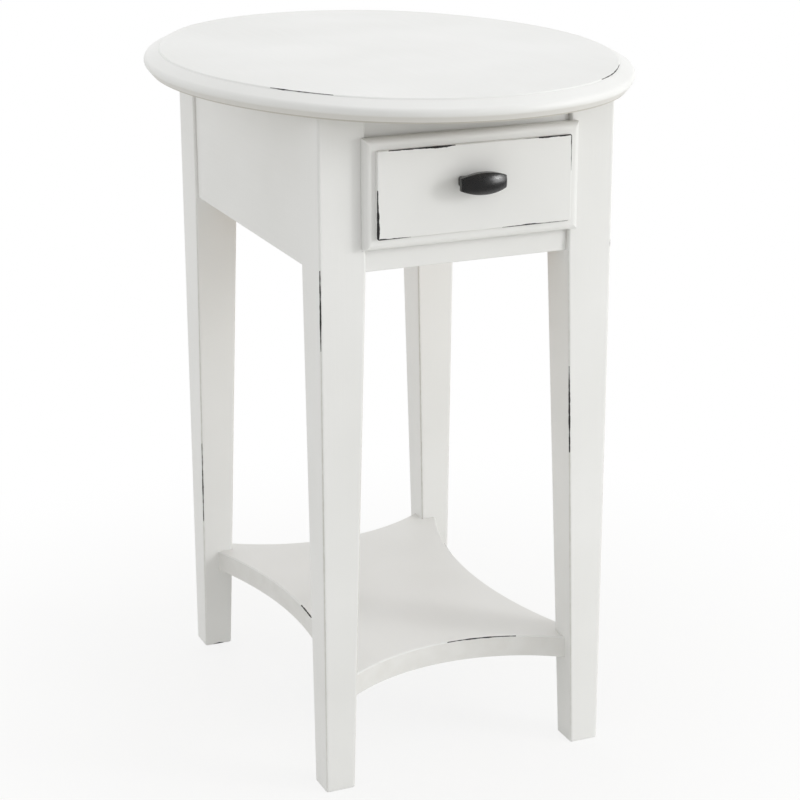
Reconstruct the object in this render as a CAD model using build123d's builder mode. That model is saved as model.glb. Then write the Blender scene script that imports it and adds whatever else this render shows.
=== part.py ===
from build123d import *
from math import atan2, degrees
import os

# Oval side table with one lipped drawer and a hollow-sided lower shelf.
# Origin on the floor under the middle of the table, +Z up, the drawer faces -Y, millimetres.

# Table top
overall_height = 660.0  # floor to the flat of the top
top_width = 442.0  # across the oval, X
top_depth = 565.0  # front to back, Y
top_thickness = 20.0
rim_step = 1.5  # drop from the flat to the moulding
rim_ease = 1.1  # chamfer on that step
rim_ledge = 1.5  # level strip between the step and the shoulder
shoulder_width = 12.5  # sloped part of the moulding
shoulder_drop = 6.0
nosing_round = 5.0  # above and below the widest line
under_draft = 6.0  # edge slopes in by this much below the nosing
under_rise = 7.2

# Legs
frame_width = 286.0  # over the legs, X
frame_depth = 386.0  # over the legs, Y
leg_size = 44.0  # square, beside the aprons
foot_size = 29.0  # square, at the floor
leg_arris = 2.5
foot_ease = 0.8

# Aprons and drawer rails
apron_height = 142.0
apron_thickness = 18.0
side_setback = 3.0  # side aprons stand back from the outer leg faces
end_setback = 4.5  # so do the rear apron and the front rails
rail_height = 28.0
rail_thickness = 20.0
board_ease = 1.2  # softened lower arris
tenon_thickness = 8.0
tenon_length = 22.0
apron_shoulder = 12.0  # tenon stops short of the apron's edges
rail_shoulder = 6.0
glue_gap = 1.0  # room behind a tenon or a screw

# Strips that carry and steer the drawer
runner_width = 27.0
runner_thickness = 18.0
runner_rise = 0.4  # runner stands over the lower rail, so the drawer never rubs the rail
guide_rise = 20.0  # guide stands this far above the runner
strip_screw_inset = 50.0  # screws in from the inner faces of the legs

# Drawer box
drawer_side_play = 1.0
drawer_seat_gap = 0.3  # under the drawer sides
drawer_top_play = 3.0
drawer_side_thickness = 12.0
drawer_rear_play = 5.5  # drawer sides stop short of the rear apron
drawer_back_thickness = 10.0
drawer_back_drop = 7.0  # back stands lower than the sides
drawer_back_housing = 4.0
drawer_bottom_thickness = 5.0
bottom_rise = 6.5  # bottom groove above the lower edge of the sides
bottom_groove = 5.0
groove_play = 0.3
tail_count = 3
tail_length = 10.0
tail_share = 0.6  # tail root over the pitch of the tails
tail_slope = 6.0  # one in six

# Drawer front
lip_side = 4.7  # overlap on the legs
lip_end = 6.2  # overlap on the rails
lip_gap = 0.3  # lip to the leg faces when shut
front_body = 7.0  # part of the front that stands inside the opening
margin_height = 9.0  # moulded margin over the lip's back
margin_round = 5.5
margin_width = 10.0
field_rise = 4.0  # raised field over the margin
field_corner = 2.0
field_ease = 0.8

# Drawer stop
stop_width = 30.0
stop_thickness = 10.0
stop_height = 60.0
stop_corner = 2.0
stop_catch = 12.0  # reaches this far above the lower edge of the top rail

# Knob
knob_rise = 6.5  # above the middle of the drawer front
knob_width = 43.5
knob_height = 19.5
knob_end_height = 11.0
knob_foot_width = 34.5
knob_foot_height = 9.0
knob_foot_corner = 2.0
knob_standoff = 12.5  # drawer face to the back of the knob's head
knob_edge = 4.0  # thickness at the ends of the head
knob_crown = 5.0  # middle of the head over its ends
knob_barrel = 16.0  # radius over the knob's height

# Shelf
shelf_height = 108.5  # floor to its upper face
shelf_thickness = 21.0
shelf_tip_depth = 6.0  # hollow edges run on this far inside the legs
shelf_front_inset = 7.0  # their hidden ends, from the outer leg faces in front and behind
shelf_side_inset = 14.0  # and from those at the sides
shelf_front_sag = 39.5
shelf_side_sag = 32.75
shelf_ease = 1.2  # chamfer along the upper edges

# Fastenings
loose_tenon_width = 9.0  # flat tenons between the legs and the shelf
loose_tenon_thickness = 5.0
loose_tenon_length = 20.0
loose_tenon_inset = 6.5  # middle of the tenon from the inner corner of the leg
screw_diameter = 4.0
screw_head_diameter = 8.0
screw_head_height = 2.5
screw_head_sink = 0.5  # heads lie this deep in the kickers
screw_fit = 0.15
screw_sides = 8  # flats that stand for the round of a screw and of its hole
screw_bite = 12.0  # depth in the top
knob_screw_bite = 8.0

# Places worked out from the sizes above
under_top = overall_height - top_thickness
edge_height = top_thickness - rim_step
rim_inset = shoulder_width + rim_ledge
apron_bottom = under_top - apron_height
apron_middle = apron_bottom + apron_height / 2
leg_x = frame_width / 2
leg_y = frame_depth / 2
inner_x = leg_x - leg_size
inner_y = leg_y - leg_size
side_apron_x = leg_x - side_setback - apron_thickness / 2
side_apron_inside = side_apron_x - apron_thickness / 2
rear_apron_y = leg_y - end_setback - apron_thickness / 2
rear_apron_inside = rear_apron_y - apron_thickness / 2
rail_y = -(leg_y - end_setback - rail_thickness / 2)
rail_back = rail_y + rail_thickness / 2
rail_middles = (apron_bottom + rail_height / 2, under_top - rail_height / 2)
opening_bottom = apron_bottom + rail_height
opening_top = under_top - rail_height
mortise_depth = tenon_length + glue_gap
apron_tenon_height = apron_height - 2 * apron_shoulder
rail_tenon_height = rail_height - 2 * rail_shoulder
runner_top = opening_bottom + runner_rise
runner_bottom = runner_top - runner_thickness
guide_top = runner_top + guide_rise
strip_length = rear_apron_inside - rail_back
strip_y = (rear_apron_inside + rail_back) / 2
strip_x = inner_x - runner_width / 2
strip_screw_y = inner_y - strip_screw_inset
screw_radius = screw_diameter / 2
screw_head_radius = screw_head_diameter / 2
screw_hole = screw_radius + screw_fit
screw_head_hole = screw_head_radius + screw_fit
screw_seat = screw_head_height + screw_head_sink

sides = {"left": -1, "right": 1}
ends = {"front": -1, "rear": 1}

os.makedirs("parts", exist_ok=True)


def keep(piece, name):
    """Name a finished piece and write it."""
    piece.part.label = name
    export_step(piece.part, f"parts/{name}.step")


def leg_width(height):
    """Width of the tapered part of a leg."""
    return foot_size + (leg_size - foot_size) * height / apron_bottom


# Table top: an oval plank with a sloped shoulder, a rounded nosing and an edge that draws in below.
# Its flat is raised one small step above the shoulder.
# The oval is set out from four centres: two long arcs beside, and two short ones at the ends.
half_width = top_width / 2
half_depth = top_depth / 2
half_chord = (half_width**2 + half_depth**2) ** 0.5
excess = half_depth - half_width
side_radius = (half_chord + excess) / 2 * half_chord / half_width
end_radius = (half_chord - excess) / 2 * half_chord / half_depth
side_centre = half_width - side_radius
end_centre = half_depth - end_radius
side_sweep = degrees(atan2(end_centre, -side_centre))  # half the angle of a side arc
end_sweep = 90 - side_sweep


def moulded_edge(radius, sweep):
    """The moulding beyond the flat, turned through one arc of the oval from the X direction."""
    with BuildPart() as moulding:
        with BuildSketch(Plane.XZ) as section:
            Polygon(
                (radius - rim_inset, under_top),
                (radius - under_draft, under_top),
                (radius, under_top + under_rise),
                (radius, under_top + edge_height - shoulder_drop),
                (radius - shoulder_width, under_top + edge_height),
                (radius - rim_inset, under_top + edge_height),
                align=None,
            )
            fillet(section.vertices().group_by(Axis.X)[-1], nosing_round)
        revolve(axis=Axis.Z, revolution_arc=sweep)
    return moulding.part


side_edge = moulded_edge(side_radius, 2 * side_sweep)
end_edge = moulded_edge(end_radius, 2 * end_sweep)
with BuildPart() as table_top:
    with BuildSketch(Plane.XY.offset(under_top)) as flat_outline:
        with Locations((-side_centre, 0)):
            Circle(side_radius - rim_inset)
        with Locations((side_centre, 0)):
            Circle(side_radius - rim_inset, mode=Mode.INTERSECT)
        fillet(flat_outline.vertices(), end_radius - rim_inset)
    extrude(amount=top_thickness)
    chamfer(table_top.faces().sort_by(Axis.Z)[-1].edges(), rim_ease)
    for side in sides.values():
        with Locations(Location((side * side_centre, 0, 0), (0, 0, 90 - side * 90 - side_sweep))):
            add(side_edge)
    for end in ends.values():
        with Locations(Location((0, end * end_centre, 0), (0, 0, end * 90 - end_sweep))):
            add(end_edge)
    with BuildSketch(Plane.XY.offset(under_top)):
        with GridLocations(2 * strip_x, 2 * strip_screw_y, 2, 2):
            RegularPolygon(screw_hole, screw_sides)
    extrude(amount=screw_bite + glue_gap, mode=Mode.SUBTRACT)
keep(table_top, "table_top")


# Legs: straight beside the aprons, tapered below them on the two inner faces only.
loose_tenon_z = shelf_height - shelf_thickness / 2
loose_tenon_x = leg_x - leg_width(loose_tenon_z)
loose_tenon_y = leg_y - leg_width(loose_tenon_z) + loose_tenon_inset
loose_mortise_length = loose_tenon_length + 2 * glue_gap


def tapered_blank(side, end):
    """The tapered part of a leg, still square-edged: its front outline crossed with its side outline."""
    with BuildPart() as blank:
        with BuildSketch(Plane.XZ):
            Polygon(
                (side * leg_x, 0),
                (side * leg_x, apron_bottom),
                (side * inner_x, apron_bottom),
                (side * (leg_x - foot_size), 0),
                align=None,
            )
        extrude(amount=-end * leg_y)
        with BuildSketch(Plane.YZ):
            Polygon(
                (end * leg_y, 0),
                (end * leg_y, apron_bottom),
                (end * inner_y, apron_bottom),
                (end * (leg_y - foot_size), 0),
                align=None,
            )
        extrude(amount=side * leg_x, mode=Mode.INTERSECT)
    return blank.part


def build_leg(name, side, end):
    """One leg with its mortises for the aprons or rails and for the shelf's loose tenon."""
    blank = tapered_blank(side, end)
    with BuildPart() as leg:
        add(blank)
        fillet(leg.edges().sort_by(SortBy.LENGTH)[-4:], leg_arris)
        extrude(leg.faces().sort_by(Axis.Z)[-1], amount=apron_height)
        chamfer(leg.faces().sort_by(Axis.Z)[0].edges(), foot_ease)
        with Locations((side * side_apron_x, end * (inner_y + mortise_depth / 2), apron_middle)):
            Box(tenon_thickness, mortise_depth, apron_tenon_height, mode=Mode.SUBTRACT)
        mortise_x = side * (inner_x + mortise_depth / 2)
        if end == ends["rear"]:
            with Locations((mortise_x, rear_apron_y, apron_middle)):
                Box(mortise_depth, tenon_thickness, apron_tenon_height, mode=Mode.SUBTRACT)
        else:
            with Locations(*[(mortise_x, rail_y, middle) for middle in rail_middles]):
                Box(mortise_depth, tenon_thickness, rail_tenon_height, mode=Mode.SUBTRACT)
        with Locations((side * loose_tenon_x, end * loose_tenon_y, loose_tenon_z)):
            Box(loose_mortise_length, loose_tenon_width, loose_tenon_thickness, mode=Mode.SUBTRACT)
    keep(leg, name)


for end_name, end in ends.items():
    for side_name, side in sides.items():
        build_leg(f"{end_name}_{side_name}_leg", side, end)


# Side aprons: boards on edge between the legs, with a tenon at each end.
for side_name, side in sides.items():
    with BuildPart() as side_apron:
        with Locations((side * side_apron_x, 0, apron_middle)):
            Box(apron_thickness, 2 * inner_y, apron_height)
        fillet(side_apron.edges().filter_by(Axis.Y).group_by(Axis.Z)[0], board_ease)
        with Locations((side * side_apron_x, 0, apron_middle)):
            Box(tenon_thickness, 2 * (inner_y + tenon_length), apron_tenon_height)
    keep(side_apron, f"{side_name}_apron")


def build_cross_board(name, y, middle, thickness, height, tenon_height):
    """A board on edge across the table, tenoned into two legs."""
    with BuildPart() as board:
        with Locations((0, y, middle)):
            Box(2 * inner_x, thickness, height)
        fillet(board.edges().filter_by(Axis.X).group_by(Axis.Z)[0], board_ease)
        with Locations((0, y, middle)):
            Box(2 * (inner_x + tenon_length), tenon_thickness, tenon_height)
    keep(board, name)


# Rear apron, and the two rails above and below the drawer.
build_cross_board(
    "rear_apron", rear_apron_y, apron_middle, apron_thickness, apron_height, apron_tenon_height
)
for rail_name, middle in zip(("front_bottom_rail", "front_top_rail"), rail_middles):
    build_cross_board(rail_name, rail_y, middle, rail_thickness, rail_height, rail_tenon_height)


# Runner, guide and kicker on each side: below, beside and above the drawer's side.
guide_width = side_apron_inside - inner_x
for side_name, side in sides.items():
    with BuildPart() as runner:
        with Locations((side * strip_x, strip_y, runner_top)):
            Box(runner_width, strip_length, runner_thickness, align=(Align.CENTER, Align.CENTER, Align.MAX))
    keep(runner, f"{side_name}_runner")

    with BuildPart() as guide:
        with Locations((side * (inner_x + guide_width / 2), 0, (runner_bottom + guide_top) / 2)):
            Box(guide_width, 2 * inner_y, guide_top - runner_bottom)
    keep(guide, f"{side_name}_guide")

    with BuildPart() as kicker:
        with Locations((side * strip_x, strip_y, opening_top)):
            Box(runner_width, strip_length, rail_height, align=(Align.CENTER, Align.CENTER, Align.MIN))
        screw_places = [(side * strip_x, end * strip_screw_y) for end in ends.values()]
        with BuildSketch(Plane.XY.offset(opening_top)):
            with Locations(*screw_places):
                RegularPolygon(screw_head_hole, screw_sides)
        extrude(amount=screw_seat, mode=Mode.SUBTRACT)
        with BuildSketch(Plane.XY.offset(opening_top + screw_seat)):
            with Locations(*screw_places):
                RegularPolygon(screw_hole, screw_sides)
        extrude(amount=rail_height - screw_seat, mode=Mode.SUBTRACT)
    keep(kicker, f"{side_name}_kicker")


def screw(length):
    """Screw with its head above the ground plane and its shank below."""
    with BuildPart() as body:
        with BuildSketch():
            RegularPolygon(screw_head_radius, screw_sides)
        extrude(amount=screw_head_height)
        with BuildSketch():
            RegularPolygon(screw_radius, screw_sides)
        extrude(amount=-length)
    return body.part


# Screws that hold the top, driven up through the kickers.
top_screw = screw(rail_height - screw_seat + screw_bite)
with BuildPart() as top_screws:
    with Locations(Plane((0, 0, opening_top + screw_seat), (1, 0, 0), (0, 0, -1))):
        with GridLocations(2 * strip_x, 2 * strip_screw_y, 2, 2):
            add(top_screw)
keep(top_screws, "top_screws")


# Shelf: four hollow sides that run into the legs, and corners scribed round the tapered legs.
front_tip_x = leg_x - leg_width(shelf_height) + shelf_tip_depth
front_tip_y = leg_y - shelf_front_inset
side_tip_x = leg_x - shelf_side_inset
side_tip_y = leg_y - leg_width(shelf_height) + shelf_tip_depth
corners = [(side, end) for side in sides.values() for end in ends.values()]
leg_blanks = [tapered_blank(side, end) for side, end in corners]
loose_tenon_places = [
    (side * loose_tenon_x, end * loose_tenon_y, loose_tenon_z) for side, end in corners
]
with BuildPart() as shelf:
    with BuildSketch(Plane.XY.offset(shelf_height - shelf_thickness)):
        with BuildLine():
            for end in ends.values():
                ThreePointArc(
                    (-front_tip_x, end * front_tip_y),
                    (0, end * (front_tip_y - shelf_front_sag)),
                    (front_tip_x, end * front_tip_y),
                )
            for side in sides.values():
                ThreePointArc(
                    (side * side_tip_x, -side_tip_y),
                    (side * (side_tip_x - shelf_side_sag), 0),
                    (side * side_tip_x, side_tip_y),
                )
            for side, end in corners:
                Line((side * front_tip_x, end * front_tip_y), (side * side_tip_x, end * side_tip_y))
        make_face()
    extrude(amount=shelf_thickness)
    hollow_edges = shelf.edges().filter_by(GeomType.CIRCLE)
    chamfer(hollow_edges.group_by(Axis.Z)[-1], shelf_ease)
    add(leg_blanks, mode=Mode.SUBTRACT)
    with Locations(*loose_tenon_places):
        Box(loose_mortise_length, loose_tenon_width, loose_tenon_thickness, mode=Mode.SUBTRACT)
keep(shelf, "shelf")

with BuildPart() as shelf_tenons:
    with Locations(*loose_tenon_places):
        Box(loose_tenon_length, loose_tenon_width, loose_tenon_thickness)
keep(shelf_tenons, "shelf_tenons")


# Drawer places: the box runs between the legs, on the runners, from the lip to the rear apron.
box_x = inner_x - drawer_side_play
box_inside_x = box_x - drawer_side_thickness
box_bottom = runner_top + drawer_seat_gap
box_top = opening_top - drawer_top_play
lip_back = -leg_y - lip_gap
body_back = lip_back + front_body
box_rear = rear_apron_inside - drawer_rear_play
stop_back = box_rear - groove_play
back_rear = stop_back - stop_thickness
back_front = back_rear - drawer_back_thickness
bottom_under = box_bottom + bottom_rise
bottom_top = bottom_under + drawer_bottom_thickness
groove_front = body_back - bottom_groove
tail_pitch = (box_top - box_bottom) / tail_count
tail_root = tail_share * tail_pitch
tail_tip = tail_root + 2 * tail_length / tail_slope


def tail_outlines():
    """The dovetails at the front of a drawer side, seen from the side."""
    for number in range(tail_count):
        middle = box_bottom + (number + 0.5) * tail_pitch
        Polygon(
            (body_back, middle - tail_root / 2),
            (body_back - tail_length, middle - tail_tip / 2),
            (body_back - tail_length, middle + tail_tip / 2),
            (body_back, middle + tail_root / 2),
            align=None,
        )


# Drawer front: a lipped board with a rounded margin round a raised field, and sockets for the tails.
front_width = 2 * (inner_x + lip_side)
front_height = opening_top - opening_bottom + 2 * lip_end
front_middle = (opening_top + opening_bottom) / 2
field_face = lip_back - margin_height - field_rise
knob_height_on_front = front_middle + knob_rise
with BuildPart() as drawer_front:
    with BuildSketch(Plane.XZ.offset(-lip_back)):
        with Locations((0, front_middle)):
            Rectangle(front_width, front_height)
    extrude(amount=margin_height)
    fillet(drawer_front.faces().sort_by(Axis.Y)[0].edges(), margin_round)
    with BuildSketch(Plane.XZ.offset(-lip_back + margin_height)):
        with Locations((0, front_middle)):
            RectangleRounded(front_width - 2 * margin_width, front_height - 2 * margin_width, field_corner)
    extrude(amount=field_rise)
    chamfer(drawer_front.faces().sort_by(Axis.Y)[0].edges(), field_ease)
    with BuildSketch(Plane.XZ.offset(-lip_back)):
        with Locations((0, (box_top + box_bottom) / 2)):
            Rectangle(2 * box_x, box_top - box_bottom)
    extrude(amount=-front_body)
    for side in sides.values():
        with BuildSketch(Plane.YZ.offset(side * box_inside_x)):
            tail_outlines()
        extrude(amount=side * drawer_side_thickness, mode=Mode.SUBTRACT)
    with Locations((0, groove_front, (bottom_under + bottom_top) / 2)):
        Box(
            2 * (box_inside_x + bottom_groove),
            bottom_groove,
            drawer_bottom_thickness + groove_play,
            align=(Align.CENTER, Align.MIN, Align.CENTER),
            mode=Mode.SUBTRACT,
        )
    with BuildSketch(Plane.XZ.offset(-body_back)):
        with Locations((0, knob_height_on_front)):
            RegularPolygon(screw_hole, screw_sides)
    extrude(amount=body_back - field_face, mode=Mode.SUBTRACT)
keep(drawer_front, "drawer_front")


# Drawer sides: tails in front, a groove for the bottom and a housing for the back.
for side_name, side in sides.items():
    with BuildPart() as drawer_side:
        with BuildSketch(Plane.YZ.offset(side * box_inside_x)):
            with Locations(((box_rear + body_back) / 2, (box_top + box_bottom) / 2)):
                Rectangle(box_rear - body_back, box_top - box_bottom)
            tail_outlines()
        extrude(amount=side * drawer_side_thickness)
        with BuildSketch(Plane.YZ.offset(side * box_inside_x)):
            with Locations(((box_rear + groove_front) / 2, (bottom_under + bottom_top) / 2)):
                Rectangle(box_rear - groove_front, drawer_bottom_thickness + groove_play)
        extrude(amount=side * bottom_groove, mode=Mode.SUBTRACT)
        with BuildSketch(Plane.YZ.offset(side * box_inside_x)):
            with Locations(((back_front + back_rear) / 2, (bottom_top + box_top) / 2)):
                Rectangle(drawer_back_thickness, box_top - bottom_top)
        extrude(amount=side * drawer_back_housing, mode=Mode.SUBTRACT)
    keep(drawer_side, f"drawer_{side_name}_side")


# Drawer back: stands on the bottom, housed in the sides.
back_top = box_top - drawer_back_drop
back_height = back_top - bottom_top
stop_top = opening_top + stop_catch
stop_middle = stop_top - stop_height / 2
stop_screw_z = (back_top + stop_top - stop_height) / 2
with BuildPart() as drawer_back:
    with Locations((0, (back_front + back_rear) / 2, bottom_top + back_height / 2)):
        Box(2 * (box_inside_x + drawer_back_housing), drawer_back_thickness, back_height)
    with BuildSketch(Plane.XZ.offset(-back_rear)):
        with Locations((0, stop_screw_z)):
            RegularPolygon(screw_hole, screw_sides)
    extrude(amount=drawer_back_thickness - glue_gap, mode=Mode.SUBTRACT)
keep(drawer_back, "drawer_back")


# Drawer bottom: a thin panel in the grooves, running under the back.
panel_front = groove_front + groove_play
with BuildPart() as drawer_bottom:
    with Locations((0, (panel_front + back_rear) / 2, bottom_under)):
        Box(
            2 * (box_inside_x + bottom_groove - groove_play),
            back_rear - panel_front,
            drawer_bottom_thickness,
            align=(Align.CENTER, Align.CENTER, Align.MIN),
        )
keep(drawer_bottom, "drawer_bottom")


# Drawer stop: a block on the back of the drawer that meets the top rail when the drawer is out.
# It turns aside on its one screw when the drawer has to come right out.
with BuildPart() as drawer_stop:
    with Locations((0, (back_rear + stop_back) / 2, stop_middle)):
        Box(stop_width, stop_thickness, stop_height)
    chamfer(drawer_stop.edges().filter_by(Axis.Y), stop_corner)
    with BuildSketch(Plane.XZ.offset(-stop_back)):
        with Locations((0, stop_screw_z)):
            RegularPolygon(screw_hole, screw_sides)
    extrude(amount=stop_thickness, mode=Mode.SUBTRACT)
keep(drawer_stop, "drawer_stop")

stop_screw = screw(stop_thickness + drawer_back_thickness - 2 * glue_gap)
with BuildPart() as drawer_stop_screw:
    with Locations(Plane((0, stop_back, stop_screw_z), (1, 0, 0), (0, 1, 0))):
        add(stop_screw)
keep(drawer_stop_screw, "drawer_stop_screw")


# Knob: a cushion-fronted bar with bowed edges and square ends, on a narrow foot.
head_back = field_face - knob_standoff
head_thickness = knob_edge + knob_crown
head_front = head_back - head_thickness
crown_radius = ((knob_width / 2) ** 2 + knob_crown**2) / (2 * knob_crown)


def knob_plane(y):
    """Plane across the knob's axis, facing forward."""
    return Plane((0, y, knob_height_on_front), (1, 0, 0), (0, -1, 0))


with BuildPart() as knob:
    with BuildSketch(knob_plane(head_back)):
        with BuildLine():
            upper_edge = ThreePointArc(
                (-knob_width / 2, knob_end_height / 2),
                (0, knob_height / 2),
                (knob_width / 2, knob_end_height / 2),
            )
            lower_edge = mirror(upper_edge, Plane.XZ)
            Line(upper_edge @ 0, lower_edge @ 0)
            Line(upper_edge @ 1, lower_edge @ 1)
        make_face()
    extrude(amount=head_thickness)
    with Locations((0, head_front + crown_radius, knob_height_on_front)):
        Torus(crown_radius - knob_barrel, knob_barrel, mode=Mode.INTERSECT)
    with BuildSketch(knob_plane(field_face)):
        RectangleRounded(knob_foot_width, knob_foot_height, knob_foot_corner)
    extrude(amount=knob_standoff)
    with BuildSketch(knob_plane(field_face)):
        RegularPolygon(screw_hole, screw_sides)
    extrude(amount=knob_screw_bite + glue_gap, mode=Mode.SUBTRACT)
keep(knob, "knob")

long_screw = screw(body_back - field_face + knob_screw_bite)
with BuildPart() as knob_screw:
    with Locations(Plane((0, body_back, knob_height_on_front), (1, 0, 0), (0, 1, 0))):
        add(long_screw)
keep(knob_screw, "knob_screw")

drawer_travel = back_rear - rail_back
print(f"drawer travel until the stop meets the top rail: {drawer_travel:.1f}")
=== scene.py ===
import math
import bmesh
import bpy
from mathutils import Matrix, Vector


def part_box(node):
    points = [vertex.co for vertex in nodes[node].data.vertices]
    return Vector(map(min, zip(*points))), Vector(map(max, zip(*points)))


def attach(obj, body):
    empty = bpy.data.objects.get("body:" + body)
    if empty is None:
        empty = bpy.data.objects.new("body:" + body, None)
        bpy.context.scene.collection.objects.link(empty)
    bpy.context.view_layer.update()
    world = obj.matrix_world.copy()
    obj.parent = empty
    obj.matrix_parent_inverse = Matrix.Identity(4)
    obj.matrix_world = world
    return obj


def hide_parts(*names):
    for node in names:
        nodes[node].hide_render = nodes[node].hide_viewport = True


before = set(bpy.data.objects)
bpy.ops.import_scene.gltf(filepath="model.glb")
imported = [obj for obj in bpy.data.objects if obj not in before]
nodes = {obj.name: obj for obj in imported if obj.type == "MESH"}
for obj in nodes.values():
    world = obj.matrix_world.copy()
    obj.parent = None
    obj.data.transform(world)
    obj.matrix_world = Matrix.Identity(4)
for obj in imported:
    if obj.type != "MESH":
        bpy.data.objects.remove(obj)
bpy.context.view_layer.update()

# Legs: four square hardwood posts, straight beside the aprons and tapered below on their inner faces.
# They are glued up round the tenons of the aprons, undercoated in charcoal and sprayed antique white,
# and the paint is rubbed through to the undercoat on a few arrises.
antique_white = (0.810, 0.812, 0.798, 1.0)
greyed_white = (0.772, 0.774, 0.757, 1.0)
charcoal = (0.022, 0.021, 0.022, 1.0)
# umber_shade is painted shade: lines along arrises and joints, and the shaded edges and undersides.
umber_shade = (0.36, 0.32, 0.25, 1.0)
brush_width = 0.0022
brush_length = 0.09
cloud_size = 0.16
paint_relief = 0.00012
paint_bump = 0.35
satin_least = 0.40
satin_most = 0.50
undercoat_dulling = 0.2
noise_span = (0.3, 0.7)
cloud_span = (0.35, 0.65)
fray = 0.00016
fray_pitch = 0.007
narrow_share = 0.65
wide_share = 1.3
taper_share = 0.9
leg_arris = 0.0025
arris_depth = leg_arris * (1 - math.sqrt(0.5))
apron_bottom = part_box("left_apron")[0].z
foot_size = 0.029
leg_size = 0.044


def put(tree, kind, inputs, **settings):
    """One node of a finish. Its inputs are plain numbers, or sockets to join."""
    node = tree.nodes.new(kind)
    for key, value in settings.items():
        setattr(node, key, value)
    for key, value in inputs.items():
        if isinstance(value, bpy.types.NodeSocket):
            tree.links.new(value, node.inputs[key])
        else:
            node.inputs[key].default_value = value
    return node


def sums(tree, operation, *values):
    """A plain sum on numbers."""
    return put(tree, "ShaderNodeMath", dict(enumerate(values)), operation=operation).outputs[0]


def vectors(tree, operation, output, *values):
    """A sum on places or directions."""
    return put(tree, "ShaderNodeVectorMath", dict(enumerate(values)), operation=operation).outputs[output]


def spread(tree, value, low, high, new_low, new_high, way="LINEAR"):
    """A value carried from one range to another, held at both ends."""
    inputs = {"Value": value, "From Min": low, "From Max": high, "To Min": new_low, "To Max": new_high}
    return put(tree, "ShaderNodeMapRange", inputs, interpolation_type=way).outputs["Result"]


def noise(tree, place, size, detail=3.0):
    """Cloudy noise, with size in metres: one number, or one for each axis."""
    sizes = size if isinstance(size, tuple) else (size, size, size)
    scaled = vectors(tree, "MULTIPLY", "Vector", place, tuple(1 / s for s in sizes))
    return put(tree, "ShaderNodeTexNoise", {"Vector": scaled, "Scale": 1.0, "Detail": detail}).outputs[0]


def along_axis(axis, across, along):
    """Sizes for a grain or a brush stroke that runs along one axis."""
    return tuple(along if index == axis else across for index in range(3))


def colours(tree, factor, first, second):
    """Two colours mixed by a factor."""
    inputs = {"Factor": factor, "A": first, "B": second}
    mix = put(tree, "ShaderNodeMix", {}, data_type="RGBA")
    for key, value in inputs.items():
        socket = next(s for s in mix.inputs if s.name == key and s.enabled)
        if isinstance(value, bpy.types.NodeSocket):
            tree.links.new(value, socket)
        else:
            socket.default_value = value
    return next(s for s in mix.outputs if s.enabled)


def edge_wear_and_shade(tree, place, start, end, width, strength=1.0, centre=None, widest=0.5, ends=0.35):
    """How far an edge is marked along a stretch, which is widest at a share of its length: wear, and lines
    of painted shade.

    Its ends keep a share of that width. The edge may bow round an upright axis at a centre.
    """
    run = end - start
    direction = run.normalized()
    offset = vectors(tree, "SUBTRACT", "Vector", place, start)
    travel = vectors(tree, "DOT_PRODUCT", "Value", offset, direction)
    to_go = sums(tree, "SUBTRACT", run.length, travel)
    swell = spread(tree, travel, 0.0, run.length * widest * taper_share, ends, 1.0)
    shrink = spread(tree, to_go, 0.0, run.length * (1 - widest) * taper_share, ends, 1.0)
    within = sums(tree, "GREATER_THAN", sums(tree, "MINIMUM", travel, to_go), 0.0)
    taper = sums(tree, "MULTIPLY", sums(tree, "MINIMUM", swell, shrink), within)
    if centre is None:
        scaled = put(tree, "ShaderNodeVectorMath", {0: direction, "Scale": travel}, operation="SCALE")
        gap = vectors(tree, "DISTANCE", "Value", offset, scaled.outputs["Vector"])
    else:
        level = Vector((1, 1, 0))
        radius = ((start - centre) * level).length
        from_centre = vectors(tree, "SUBTRACT", "Vector", place, centre)
        spoke = vectors(tree, "MULTIPLY", "Vector", from_centre, level)
        reach = vectors(tree, "LENGTH", "Value", spoke)
        rise = vectors(tree, "DOT_PRODUCT", "Value", offset, Vector((0, 0, 1)))
        apart = put(tree, "ShaderNodeCombineXYZ", {"X": sums(tree, "SUBTRACT", reach, radius), "Y": rise})
        gap = vectors(tree, "LENGTH", "Value", apart.outputs["Vector"])
        towards = vectors(tree, "DOT_PRODUCT", "Value", spoke, (start + end) / 2 - centre)
        taper = sums(tree, "MULTIPLY", taper, sums(tree, "GREATER_THAN", towards, 0.0))
    tatters = noise(tree, place, fray_pitch, detail=2.0)
    ragged = spread(tree, tatters, *noise_span, narrow_share * width, wide_share * width)
    bare_width = sums(tree, "MULTIPLY", taper, ragged)
    return spread(tree, sums(tree, "SUBTRACT", bare_width, gap), 0.0, fray, 0.0, strength)


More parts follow.
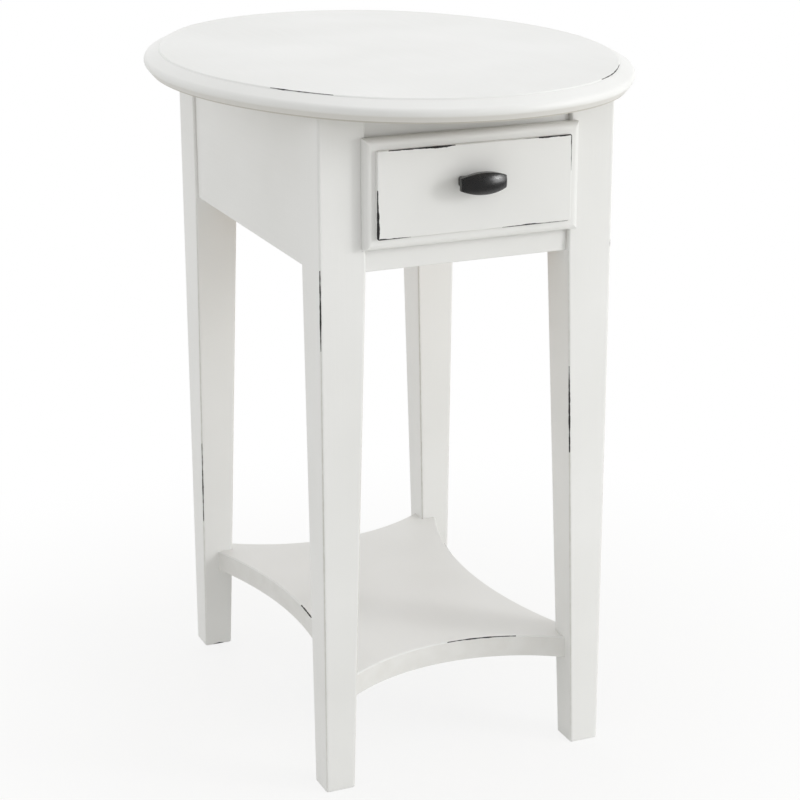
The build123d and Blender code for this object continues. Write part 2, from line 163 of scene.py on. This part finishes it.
def painted_wood(name, axis, worn, shade_lines=()):
    """Satin paint brushed faintly along one axis, charcoal where an edge is worn, and umber lines of
    painted shade.
    """
    finish = bpy.data.materials.new(name)
    finish.use_nodes = True
    tree = finish.node_tree
    shader = tree.nodes["Principled BSDF"]
    place = put(tree, "ShaderNodeTexCoord", {}).outputs["Object"]
    brush = noise(tree, place, along_axis(axis, brush_width, brush_length))
    cloud = noise(tree, place, cloud_size, detail=2.0)
    paint = colours(tree, spread(tree, cloud, *cloud_span, 0.0, 1.0), antique_white, greyed_white)
    roughness = spread(tree, brush, *noise_span, satin_least, satin_most)
    for stretch in shade_lines:
        paint = colours(tree, edge_wear_and_shade(tree, place, **stretch), paint, umber_shade)
    bare = None
    for stretch in worn:
        stretch_bare = edge_wear_and_shade(tree, place, **stretch)
        bare = stretch_bare if bare is None else sums(tree, "MAXIMUM", bare, stretch_bare)
    height = brush
    if bare is not None:
        paint = colours(tree, bare, paint, charcoal)
        roughness = sums(tree, "ADD", roughness, spread(tree, bare, 0.0, 1.0, 0.0, undercoat_dulling))
        height = sums(tree, "SUBTRACT", brush, bare)
    bump = put(tree, "ShaderNodeBump", {"Height": height, "Strength": paint_bump, "Distance": paint_relief})
    tree.links.new(paint, shader.inputs["Base Color"])
    tree.links.new(roughness, shader.inputs["Roughness"])
    tree.links.new(bump.outputs["Normal"], shader.inputs["Normal"])
    return finish


def finish_node(name, finish):
    """Put a finish on a node in place of its plain one."""
    nodes[name].data.materials.clear()
    nodes[name].data.materials.append(finish)


def leg_edge(side, end, inner_x, inner_y, height):
    """A point on one arris of a leg, at the middle of its rounding."""
    width = foot_size + (leg_size - foot_size) * min(height / apron_bottom, 1)
    into_x = width - arris_depth if inner_x else arris_depth
    into_y = width - arris_depth if inner_y else arris_depth
    return Vector((side * (cad_leg_x - into_x), end * (cad_leg_y - into_y), height))


cad_leg_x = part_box("front_right_leg")[1].x
cad_leg_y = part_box("rear_right_leg")[1].y
leg_signs = {
    "front_left_leg": (-1, -1),
    "front_right_leg": (1, -1),
    "rear_left_leg": (-1, 1),
    "rear_right_leg": (1, 1),
}
# Each rubbed stretch: inner face on X, inner face on Y, lower height, upper height, half width.
leg_wear = {
    "front_left_leg": [(False, False, 0.432, 0.505, 0.0009), (True, True, 0.21, 0.27, 0.0007)],
    "front_right_leg": [
        (True, False, 0.303, 0.388, 0.0010),
        (False, False, 0.498, 0.505, 0.0008),
        (False, True, 0.16, 0.25, 0.0007),
    ],
    "rear_left_leg": [(False, True, 0.146, 0.234, 0.0008), (False, False, 0.38, 0.47, 0.0007)],
    "rear_right_leg": [(False, False, 0.20, 0.29, 0.0007), (True, True, 0.42, 0.47, 0.0007)],
}
leg_mark_ends = 0.55
shade_line_width = 0.0008
shade_line_strength = 0.34
leg_foot = 0.004
chipped_foot = (-0.1345, -0.1230)
chip_height = 0.0005
chip_width = 0.0013
for name, (side, end) in leg_signs.items():
    worn = []
    for inner_x, inner_y, low, high, width in leg_wear[name]:
        edge = (leg_edge(side, end, inner_x, inner_y, low), leg_edge(side, end, inner_x, inner_y, high))
        worn.append({"start": edge[0], "end": edge[1], "width": width, "ends": leg_mark_ends})
    if name == "rear_left_leg":
        foot_y = cad_leg_y - foot_size
        chip = [Vector((x, foot_y, chip_height)) for x in chipped_foot]
        worn.append({"start": chip[0], "end": chip[1], "width": chip_width})
    # Lines of painted shade in umber run down all four arrises, from the foot up to the aprons.
    shade_lines = []
    for inner_x in (False, True):
        for inner_y in (False, True):
            foot = leg_edge(side, end, inner_x, inner_y, leg_foot)
            knee = leg_edge(side, end, inner_x, inner_y, apron_bottom)
            line = {"start": foot, "end": knee, "width": shade_line_width, "strength": shade_line_strength}
            shade_lines.append(line)
    finish_node(name, painted_wood(f"{name}_paint", 2, worn, shade_lines))


# Aprons and drawer rails: boards on edge, set back a little from the leg faces and tenoned into the legs.
# They carry the same sprayed finish as the legs, with the lower arrises eased.
for name, axis in (
    ("left_apron", 1),
    ("right_apron", 1),
    ("rear_apron", 0),
    ("front_top_rail", 0),
    ("front_bottom_rail", 0),
):
    low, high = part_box(name)
    outer_x = low.x if low.x + high.x < 0 else high.x
    outer_y = low.y if low.y + high.y < 0 else high.y
    # A line of painted shade in umber runs up each end of the outer face, where the board meets the leg.
    shade_lines = []
    for side in (-1, 1):
        if axis == 0:
            meeting = (side * (cad_leg_x - leg_size), outer_y)
        else:
            meeting = (outer_x, side * (cad_leg_y - leg_size))
        foot = Vector((*meeting, low.z))
        head = Vector((*meeting, high.z))
        shade_lines.append({"start": foot, "end": head, "width": shade_line_width, "strength": shade_line_strength})
    finish_node(name, painted_wood(f"{name}_paint", axis, [], shade_lines))


# Runners, guides and kickers: planed hardwood strips glued inside the frame, below, beside and over the
# drawer. They have only a thin clear sealer, as nothing shows of them until the drawer is out.
pale_wood = (0.66, 0.50, 0.33, 1.0)
ring_wood = (0.52, 0.36, 0.21, 1.0)
pore_wood = (0.40, 0.26, 0.14, 1.0)
ring_width = 0.009
ring_length = 0.24
ring_count = 6.0
ring_span = (0.1, 0.95)
ring_depth = 0.75
pore_width = 0.0007
pore_length = 0.016
pore_span = (0.60, 0.72)
pore_depth = 0.6
pore_relief = 0.00015
pore_bump = 0.4
sealer_least = 0.46
sealer_most = 0.58


def wood_grain(tree, place, axis):
    """Colour, roughness and pores of planed wood with its grain along one axis."""
    rings = noise(tree, place, along_axis(axis, ring_width, ring_length), detail=4.0)
    bands = sums(tree, "PINGPONG", sums(tree, "MULTIPLY", rings, ring_count), 1.0)
    wood = colours(tree, spread(tree, bands, *ring_span, 0.0, ring_depth), pale_wood, ring_wood)
    pores = noise(tree, place, along_axis(axis, pore_width, pore_length), detail=2.0)
    wood = colours(tree, spread(tree, pores, *pore_span, 0.0, pore_depth), wood, pore_wood)
    return wood, spread(tree, bands, 0.0, 1.0, sealer_least, sealer_most), pores


def bare_wood(name, axis):
    """Planed and sealed wood."""
    finish = bpy.data.materials.new(name)
    finish.use_nodes = True
    tree = finish.node_tree
    shader = tree.nodes["Principled BSDF"]
    place = put(tree, "ShaderNodeTexCoord", {}).outputs["Object"]
    wood, roughness, pores = wood_grain(tree, place, axis)
    bump = put(tree, "ShaderNodeBump", {"Height": pores, "Strength": pore_bump, "Distance": pore_relief})
    tree.links.new(wood, shader.inputs["Base Color"])
    tree.links.new(roughness, shader.inputs["Roughness"])
    tree.links.new(bump.outputs["Normal"], shader.inputs["Normal"])
    return finish


strip_wood = bare_wood("strip_wood", 1)
for side in ("left", "right"):
    for strip in ("runner", "guide", "kicker"):
        finish_node(f"{side}_{strip}", strip_wood)


# Shelf: one board with four hollow sides, scribed round the tapered legs and held by flat loose tenons.
# Painted as the rest, and rubbed through on its upper front and side edges.
shelf_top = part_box("shelf")[1].z
shelf_ease = 0.0012
edge_height = shelf_top - shelf_ease / 2
front_middle_y = -0.1465
front_half_chord = 0.11673
front_sag = 0.0395
side_middle_x = 0.09625
side_half_chord = 0.16673
side_sag = 0.03275
front_radius = (front_half_chord**2 + front_sag**2) / (2 * front_sag)
side_radius = (side_half_chord**2 + side_sag**2) / (2 * side_sag)
front_centre = Vector((0, front_middle_y - front_radius, edge_height))
side_centre_x = side_middle_x + side_radius


def shelf_front_point(x):
    """A point on the eased front edge of the shelf."""
    reach = front_radius + shelf_ease / 2
    return Vector((x, front_centre.y + math.sqrt(reach**2 - x**2), edge_height))


def shelf_side_point(side, y):
    """A point on an eased side edge of the shelf."""
    reach = side_radius + shelf_ease / 2
    return Vector((side * (side_centre_x - math.sqrt(reach**2 - y**2)), y, edge_height))


# The rubbed stretches: on the front edge by X, and on the side edges by Y, each with its half width.
front_wear_start = 0.002
front_wear_end = 0.0695
front_wear_width = 0.0007
side_wear = [
    (-1, -0.039, -0.006, 0.0009),
    (1, 0.056, 0.087, 0.0006),
    (1, -0.09, -0.03, 0.0007),
]
shelf_mark_ends = 0.8
worn = [
    {
        "start": shelf_front_point(front_wear_start),
        "end": shelf_front_point(front_wear_end),
        "width": front_wear_width,
        "ends": shelf_mark_ends,
        "centre": front_centre,
    },
]
for side, low, high, width in side_wear:
    worn.append(
        {
            "start": shelf_side_point(side, low),
            "end": shelf_side_point(side, high),
            "width": width,
            "ends": shelf_mark_ends,
            "centre": Vector((side * side_centre_x, 0, edge_height)),
        }
    )
shelf_finish = painted_wood("shelf_paint", 1, worn)
# Painted shade: the faces that turn sideways, the edges, are darkened a little towards umber in a soft
# mottle.
mottle_size = 0.018
mottle_least = 0.10
mottle_most = 0.17
edge_lean = 0.3
face_lean = 0.7
tree = shelf_finish.node_tree
shader = tree.nodes["Principled BSDF"]
place = put(tree, "ShaderNodeTexCoord", {}).outputs["Object"]
facing = put(tree, "ShaderNodeNewGeometry", {}).outputs["Normal"]
level = sums(tree, "ABSOLUTE", vectors(tree, "DOT_PRODUCT", "Value", facing, Vector((0, 0, 1))))
on_edge = spread(tree, level, edge_lean, face_lean, 1.0, 0.0)
mottle = spread(tree, noise(tree, place, mottle_size), *cloud_span, mottle_least, mottle_most)
painted = shader.inputs["Base Color"].links[0].from_socket
painted_edge_shade = colours(tree, sums(tree, "MULTIPLY", on_edge, mottle), painted, umber_shade)
tree.links.new(painted_edge_shade, shader.inputs["Base Color"])
finish_node("shelf", shelf_finish)
finish_node("shelf_tenons", bare_wood("tenon_wood", 1))


# Drawer box: sides, back and bottom in sealed hardwood. The sides are dovetailed into the front, the back
# stands in housings, and the thin bottom lies in a groove. A stop block is screwed on behind the back.
for name, axis in (
    ("drawer_left_side", 1),
    ("drawer_right_side", 1),
    ("drawer_back", 0),
    ("drawer_bottom", 0),
):
    finish_node(name, bare_wood(f"{name}_wood", axis))
finish_node("drawer_stop", bare_wood("drawer_stop_wood", 2))


# Drawer front: a lipped board with a rounded margin and a raised field, dovetailed to the drawer sides.
# It is painted as the frame, and rubbed through to the undercoat along the arris of the field.
front_low, front_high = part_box("drawer_front")
margin = 0.010
field_ease = 0.0008
field_y = front_low.y + field_ease / 2
field_left = front_low.x + margin + field_ease / 2
field_right = front_high.x - margin - field_ease / 2
field_bottom = front_low.z + margin + field_ease / 2
field_top = front_high.z - margin - field_ease / 2
# Stretches along the top and bottom arrises, by X, and along the left and right ones, by height.
# Each has its half width, the share of its length where it is widest, and the share left at its ends.
level_wear = [
    (field_top, -0.083, -0.020, 0.0013, 0.85, 0.45),
    (field_top, 0.045, 0.062, 0.0004, 0.9, 0.35),
    (field_top, 0.0605, 0.0950, 0.0010, 0.6, 0.8),
    (field_bottom, -0.0945, -0.062, 0.0011, 0.1, 0.35),
    (field_bottom, 0.026, 0.091, 0.0009, 0.35, 0.4),
]
upright_wear = [
    (field_left, 0.5288, 0.5740, 0.0016, 0.12, 0.35),
    (field_right, 0.5755, 0.6100, 0.0012, 0.95, 0.4),
]
worn = []
for height, left, right, width, widest, ends in level_wear:
    reach = {"start": Vector((left, field_y, height)), "end": Vector((right, field_y, height))}
    worn.append({**reach, "width": width, "widest": widest, "ends": ends})
for x, low, high, width, widest, ends in upright_wear:
    reach = {"start": Vector((x, field_y, low)), "end": Vector((x, field_y, high))}
    worn.append({**reach, "width": width, "widest": widest, "ends": ends})
front_finish = painted_wood("drawer_front_paint", 0, worn)
# The spray stops behind the lip: the body of the board is bare wood inside the drawer.
paint_depth = 0.0145
paint_stop = front_low.y + paint_depth
tree = front_finish.node_tree
shader = tree.nodes["Principled BSDF"]
place = put(tree, "ShaderNodeTexCoord", {}).outputs["Object"]
wood = wood_grain(tree, place, 0)[0]
depth = vectors(tree, "DOT_PRODUCT", "Value", place, Vector((0, 1, 0)))
unpainted = sums(tree, "GREATER_THAN", depth, paint_stop)
painted = shader.inputs["Base Color"].links[0].from_socket
tree.links.new(colours(tree, unpainted, painted, wood), shader.inputs["Base Color"])
finish_node("drawer_front", front_finish)


# Knob: a cast bar with a cushion front on a narrow foot, in near-black oil-rubbed bronze.
# One machine screw holds it through the drawer front from inside.
bronze_black = (0.0045, 0.0045, 0.005, 1.0)
bronze_brown = (0.0085, 0.0075, 0.007, 1.0)
patch_size = 0.006
patch_span = (0.35, 0.7)
cast_grain = 0.0006
cast_relief = 0.0001
cast_bump = 0.25
wax_least = 0.25
wax_most = 0.33
wax_shine = 1.0
knob_finish = bpy.data.materials.new("oil_rubbed_bronze")
knob_finish.use_nodes = True
tree = knob_finish.node_tree
shader = tree.nodes["Principled BSDF"]
place = put(tree, "ShaderNodeTexCoord", {}).outputs["Object"]
patches = noise(tree, place, patch_size)
speck = noise(tree, place, cast_grain)
bronze = colours(tree, spread(tree, patches, *patch_span, 0.0, 1.0), bronze_black, bronze_brown)
bump = put(tree, "ShaderNodeBump", {"Height": speck, "Strength": cast_bump, "Distance": cast_relief})
tree.links.new(bronze, shader.inputs["Base Color"])
tree.links.new(spread(tree, speck, *noise_span, wax_least, wax_most), shader.inputs["Roughness"])
tree.links.new(bump.outputs["Normal"], shader.inputs["Normal"])
shader.inputs["Specular IOR Level"].default_value = wax_shine
finish_node("knob", knob_finish)


# Screws: cold-headed steel with a zinc plating, a pan head and a cross recess. Four go up through the
# kickers into the top, one holds the drawer stop and one holds the knob. Rolled threads ridge the shanks.
zinc = (0.60, 0.59, 0.55, 1.0)
dull_zinc = (0.44, 0.43, 0.40, 1.0)
screw_sides = 24
head_radius = 0.0037
head_height = 0.0025
head_rim = 0.0008
dome_steps = 5
shank_radius = 0.0019
root_radius = 0.0015
thread_pitch = 0.0012
tip_length = 0.003
recess_reach = 0.0016
recess_half_width = 0.00045
recess_depth = 0.0012
recess_taper = 0.6
crown_radius = 0.0021
turn_between = 0.7
crease_angle = math.radians(35)


def turned_ring(mesh, radius, height):
    """One ring of a turned form."""
    turns = (2 * math.pi * index / screw_sides for index in range(screw_sides))
    return [mesh.verts.new((radius * math.cos(turn), radius * math.sin(turn), height)) for turn in turns]


def skin(mesh, lower, upper):
    """Faces between two closed rings of as many points."""
    for index in range(len(lower)):
        after = (index + 1) % len(lower)
        mesh.faces.new((lower[index], lower[after], upper[after], upper[index]))


def cross_outline(mesh, scale, height):
    """The twelve corners of a cross recess."""
    long = recess_reach * scale
    short = recess_half_width * scale
    corners = []
    for quarter in range(4):
        turn = Matrix.Rotation(quarter * math.pi / 2, 3, "Z")
        for x, y in ((long, -short), (long, short), (short, short)):
            corners.append(mesh.verts.new(turn @ Vector((x, y, height))))
    return corners


def pan_head_screw(name, seats, facing, length, body, node):
    """Like screws in one mesh, with each head on its seat and its top towards one side."""
    mesh = bmesh.new()
    for number, seat in enumerate(seats):
        one = bmesh.new()
        rings = []
        thread_turns = int((length - tip_length) / thread_pitch)
        for turn in range(thread_turns):
            height = -length + tip_length + turn * thread_pitch
            rings.append(turned_ring(one, root_radius, height))
            rings.append(turned_ring(one, shank_radius, height + thread_pitch / 2))
        rings.append(turned_ring(one, shank_radius, 0.0))
        rings.append(turned_ring(one, head_radius, 0.0))
        for step in range(dome_steps + 1):
            turn = math.pi / 2 * step / dome_steps
            radius = crown_radius + (head_radius - crown_radius) * math.cos(turn)
            rings.append(turned_ring(one, radius, head_rim + (head_height - head_rim) * math.sin(turn)))
        for lower, upper in zip(rings, rings[1:]):
            skin(one, lower, upper)
        tip = one.verts.new((0, 0, -length))
        for index in range(screw_sides):
            one.faces.new((rings[0][index], tip, rings[0][(index + 1) % screw_sides]))
        mouth = cross_outline(one, 1.0, head_height)
        bottom = cross_outline(one, recess_taper, head_height - recess_depth)
        skin(one, mouth, bottom)
        one.faces.new(bottom)
        rims = []
        for ring in (rings[-1], mouth):
            rims += [one.edges.get((ring[index - 1], ring[index])) for index in range(len(ring))]
        bmesh.ops.triangle_fill(one, edges=rims, use_beauty=True)
        bmesh.ops.recalc_face_normals(one, faces=one.faces)
        aim = facing.to_track_quat("Z", "Y").to_matrix().to_4x4()
        driven = Matrix.Rotation(number * turn_between, 4, "Z")
        bmesh.ops.transform(one, matrix=Matrix.Translation(seat) @ aim @ driven, verts=one.verts)
        finished = bpy.data.meshes.new(name)
        one.to_mesh(finished)
        one.free()
        mesh.from_mesh(finished)
    shape = bpy.data.meshes.new(name)
    mesh.to_mesh(shape)
    mesh.free()
    shape.shade_smooth()
    shape.set_sharp_from_angle(angle=crease_angle)
    shape.materials.append(screw_finish)
    screw = bpy.data.objects.new(name, shape)
    bpy.context.scene.collection.objects.link(screw)
    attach(screw, body)
    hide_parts(node)


bloom_size = 0.003
plating_least = 0.28
plating_most = 0.45
screw_finish = bpy.data.materials.new("plated_steel")
screw_finish.use_nodes = True
tree = screw_finish.node_tree
shader = tree.nodes["Principled BSDF"]
place = put(tree, "ShaderNodeTexCoord", {}).outputs["Object"]
bloom = noise(tree, place, bloom_size)
tree.links.new(colours(tree, bloom, zinc, dull_zinc), shader.inputs["Base Color"])
tree.links.new(spread(tree, bloom, *noise_span, plating_least, plating_most), shader.inputs["Roughness"])
shader.inputs["Metallic"].default_value = 1.0
cad_head_radius = 0.004
low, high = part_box("top_screws")
seats = []
for side in (-1, 1):
    for end in (-1, 1):
        seat_x = side * (high.x - cad_head_radius)
        seat_y = end * (high.y - cad_head_radius)
        seats.append(Vector((seat_x, seat_y, low.z + head_height)))
shank_length = high.z - low.z - head_height
pan_head_screw("kicker_screws", seats, Vector((0, 0, -1)), shank_length, "frame", "top_screws")
for name, node in (("stop_screw", "drawer_stop_screw"), ("bar_screw", "knob_screw")):
    low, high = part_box(node)
    seat = Vector(((low.x + high.x) / 2, high.y - head_height, (low.z + high.z) / 2))
    shank_length = high.y - low.y - head_height
    pan_head_screw(name, [seat], Vector((0, 1, 0)), shank_length, "drawer", node)


# Top: an oval plank with a stepped rim and a rounded nosing, screwed down from below through the kickers.
# Painted as the frame, and rubbed through in a few places on the step.
top_low, top_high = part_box("table_top")
half_width = top_high.x
half_depth = top_high.y
half_chord = math.hypot(half_width, half_depth)
excess = half_depth - half_width
side_sweep = (half_chord + excess) / 2 * half_chord / half_width
end_sweep = (half_chord - excess) / 2 * half_chord / half_depth
rim_ease = 0.0011
flat_inset = 0.014
rim_inset = flat_inset + rim_ease / 2
rim_height = top_high.z - rim_ease / 2


def rim_point(side, y):
    """A point on the long side arc of the step, at the height of the flat."""
    reach = side_sweep - rim_inset
    x = side * (math.sqrt(reach**2 - y**2) - (side_sweep - half_width))
    return Vector((x, y, rim_height))


def rim_end_point(end, x):
    """A point on the short end arc of the step, at the height of the flat."""
    reach = end_sweep - rim_inset
    y = end * (math.sqrt(reach**2 - x**2) + half_depth - end_sweep)
    return Vector((x, y, rim_height))


left_centre = Vector((side_sweep - half_width, 0, rim_height))
right_centre = Vector((half_width - side_sweep, 0, rim_height))
end_centre = Vector((0, end_sweep - half_depth, rim_height))
# Each rubbed stretch: its ends, its half width, where it is widest, and the centre that it bows round.
# The mark at the right runs over the join of two arcs, so it is two stretches that overlap.
rim_wear = [
    (rim_point(-1, -0.206), rim_point(-1, -0.151), 0.00065, 0.85, left_centre),
    (rim_end_point(-1, 0.1085), rim_end_point(-1, 0.150), 0.0006, 0.5, end_centre),
    (rim_point(1, -0.226), rim_point(1, -0.1665), 0.0006, 0.4, right_centre),
    (rim_point(1, 0.06), rim_point(1, 0.13), 0.0006, 0.5, right_centre),
]
rim_mark_ends = 0.6
worn = []
for start, end, width, widest, centre in rim_wear:
    shape = {"width": width, "widest": widest, "ends": rim_mark_ends, "centre": centre}
    worn.append({"start": start, "end": end, **shape})
top_finish = painted_wood("table_top_paint", 1, worn)
# Painted shade: the paint darkens to umber the more it faces down, as the nosing turns under and below it.
# A thin line of painted shade runs along the lowest arris.
under_share = 0.8
under_power = 2.4
line_share = 0.65
line_height = 0.0018
line_fade = 0.0005
tree = top_finish.node_tree
shader = tree.nodes["Principled BSDF"]
facing = put(tree, "ShaderNodeNewGeometry", {}).outputs["Normal"]
down = sums(tree, "MAXIMUM", vectors(tree, "DOT_PRODUCT", "Value", facing, Vector((0, 0, -1))), 0.0)
downward_shade = sums(tree, "MULTIPLY", sums(tree, "POWER", down, under_power), under_share)
painted = shader.inputs["Base Color"].links[0].from_socket
place = put(tree, "ShaderNodeTexCoord", {}).outputs["Object"]
height = vectors(tree, "DOT_PRODUCT", "Value", place, Vector((0, 0, 1)))
line_low = top_low.z + line_height - line_fade
arris_shade_line = spread(tree, height, line_low, top_low.z + line_height, line_share, 0.0)
top_shade = sums(tree, "MAXIMUM", downward_shade, arris_shade_line)
tree.links.new(colours(tree, top_shade, painted, umber_shade), shader.inputs["Base Color"])
finish_node("table_top", top_finish)

weld_reach = 0.00001
ease_width = 0.0013
ease_steps = 3
ease_angle = math.radians(28)


def soften(name, width):
    """Ease the arrises of a node with a small rounding."""
    weld = nodes[name].modifiers.new("weld", "WELD")
    weld.merge_threshold = weld_reach
    ease = nodes[name].modifiers.new("ease", "BEVEL")
    ease.width = width
    ease.segments = ease_steps
    ease.limit_method = "ANGLE"
    ease.angle_limit = ease_angle
    ease.harden_normals = False
    smooth = nodes[name].modifiers.new("smooth", "WEIGHTED_NORMAL")
    smooth.keep_sharp = False


soften("table_top", ease_width)


# Floor: a plain white studio sheet that keeps a soft shadow round the feet and is pure white farther off.
# Gloss mirrors it as white, but dimmer in front of the table, where the room is dark.
floor_size = 30.0
floor_white = (0.74, 0.735, 0.71, 1.0)
floor_roughness = 0.9
shadow_reach = 0.22
sweep_start = 0.75
shadow_white = 0.82
mirrored_floor = 0.25
front_dim = -0.65
front_bright = -0.25
bpy.ops.mesh.primitive_plane_add(size=floor_size)
floor = bpy.context.object
floor.name = "studio_floor"
floor_finish = bpy.data.materials.new("studio_floor")
floor_finish.use_nodes = True
tree = floor_finish.node_tree
shader = tree.nodes["Principled BSDF"]
shader.inputs["Base Color"].default_value = floor_white
shader.inputs["Roughness"].default_value = floor_roughness
shader.inputs["Specular IOR Level"].default_value = 0.0
seen = put(tree, "ShaderNodeLightPath", {})
direct = sums(tree, "MAXIMUM", seen.outputs["Is Camera Ray"], seen.outputs["Is Glossy Ray"])
direct = sums(tree, "MAXIMUM", direct, seen.outputs["Is Transmission Ray"])
place = put(tree, "ShaderNodeTexCoord", {}).outputs["Object"]
backwards = vectors(tree, "DOT_PRODUCT", "Value", place, Vector((0, 1, 0)))
mirrored = spread(tree, backwards, front_dim, front_bright, mirrored_floor, 1.0)
floor_level = spread(tree, seen.outputs["Is Glossy Ray"], 0.0, 1.0, 1.0, mirrored)
white = put(tree, "ShaderNodeEmission", {"Color": (1, 1, 1, 1), "Strength": floor_level})
from_table = vectors(tree, "LENGTH", "Value", place)
whiteness = spread(tree, from_table, shadow_reach, sweep_start, shadow_white, 1.0, "SMOOTHSTEP")
share = sums(tree, "MULTIPLY", direct, whiteness)
mix = put(tree, "ShaderNodeMixShader", {0: share, 1: shader.outputs[0], 2: white.outputs[0]})
tree.links.new(mix.outputs[0], tree.nodes["Material Output"].inputs["Surface"])
floor.data.materials.append(floor_finish)


# Light: a white surround, brighter near the horizon than overhead, and five soft boxes. A broad box and its
# bright core stand in front at the right, a weak one behind at the left, one behind and one overhead.
# The one behind is kept out of the gloss, since it would burn out on the satin top.
horizon_level = 1.08
zenith_level = 0.66
zenith_start = 0.6
room_level = 0.22
room_edge = -0.2
backdrop_edge = 0.4
world = bpy.data.worlds.new("studio")
bpy.context.scene.world = world
world.use_nodes = True
tree = world.node_tree
towards = put(tree, "ShaderNodeTexCoord", {}).outputs["Generated"]
upwards = vectors(tree, "DOT_PRODUCT", "Value", towards, Vector((0, 0, 1)))
surround = spread(tree, upwards, 0.0, zenith_start, horizon_level, zenith_level)
seen = put(tree, "ShaderNodeLightPath", {})
direct = sums(tree, "MAXIMUM", seen.outputs["Is Camera Ray"], seen.outputs["Is Transmission Ray"])
level = spread(tree, direct, 0.0, 1.0, surround, 1.0)
# Gloss mirrors the white backdrop behind the table, and a dimmer room in front of it.
backwards = vectors(tree, "DOT_PRODUCT", "Value", towards, Vector((0, 1, 0)))
mirrored = spread(tree, backwards, room_edge, backdrop_edge, room_level, 1.0)
level = spread(tree, seen.outputs["Is Glossy Ray"], 0.0, 1.0, level, mirrored)
tree.nodes["Background"].inputs["Color"].default_value = (1, 1, 1, 1)
tree.links.new(level, tree.nodes["Background"].inputs["Strength"])


def soft_lamp(name, place, width, height, power, mirrored=True):
    """A soft box that faces the middle of the table, and that gloss may leave out."""
    lamp = bpy.data.lights.new(name, "AREA")
    lamp.shape = "RECTANGLE"
    lamp.size = width
    lamp.size_y = height
    lamp.energy = power
    holder = bpy.data.objects.new(name, lamp)
    holder.location = place
    holder.rotation_euler = (table_middle - Vector(place)).to_track_quat("-Z", "Y").to_euler()
    holder.visible_glossy = mirrored
    bpy.context.scene.collection.objects.link(holder)


table_middle = Vector((0, 0, 0.42))
soft_lamp("right_lamp", (1.78, -1.47, 0.78), width=1.1, height=1.1, power=13.0)
soft_lamp("right_core", (1.72, -1.53, 1.20), width=0.35, height=0.5, power=7.5)
soft_lamp("left_lamp", (-1.7, 1.5, 0.9), width=1.4, height=1.4, power=4.0)
soft_lamp("back_lamp", (0.3, 2.1, 1.4), width=1.4, height=0.9, power=8.0, mirrored=False)
soft_lamp("overhead_lamp", (0.2, -0.2, 2.3), width=1.8, height=1.8, power=8.5)


# Camera: a long lens about two metres off and one metre up, in front of the table and to its left.
# Its place was found by fitting the legs, aprons, shelf and rim to the photograph.
camera_place = Vector((-0.79148, -1.87927, 0.98289))
camera_azimuth = math.radians(-23.239)
camera_elevation = math.radians(18.247)
camera_roll = math.radians(-0.13)
sensor_width = 36.0
focal_length = 97.103
lens = bpy.data.cameras.new("camera")
lens.sensor_width = sensor_width
lens.lens = focal_length
camera = bpy.data.objects.new("camera", lens)
bpy.context.scene.collection.objects.link(camera)
turn = Matrix.Rotation(camera_azimuth, 4, "Z")
tilt = Matrix.Rotation(math.pi / 2 - camera_elevation, 4, "X")
roll = Matrix.Rotation(camera_roll, 4, "Z")
camera.matrix_world = Matrix.Translation(camera_place) @ turn @ tilt @ roll
bpy.context.scene.camera = camera
bpy.context.scene.view_settings.view_transform = "Standard"
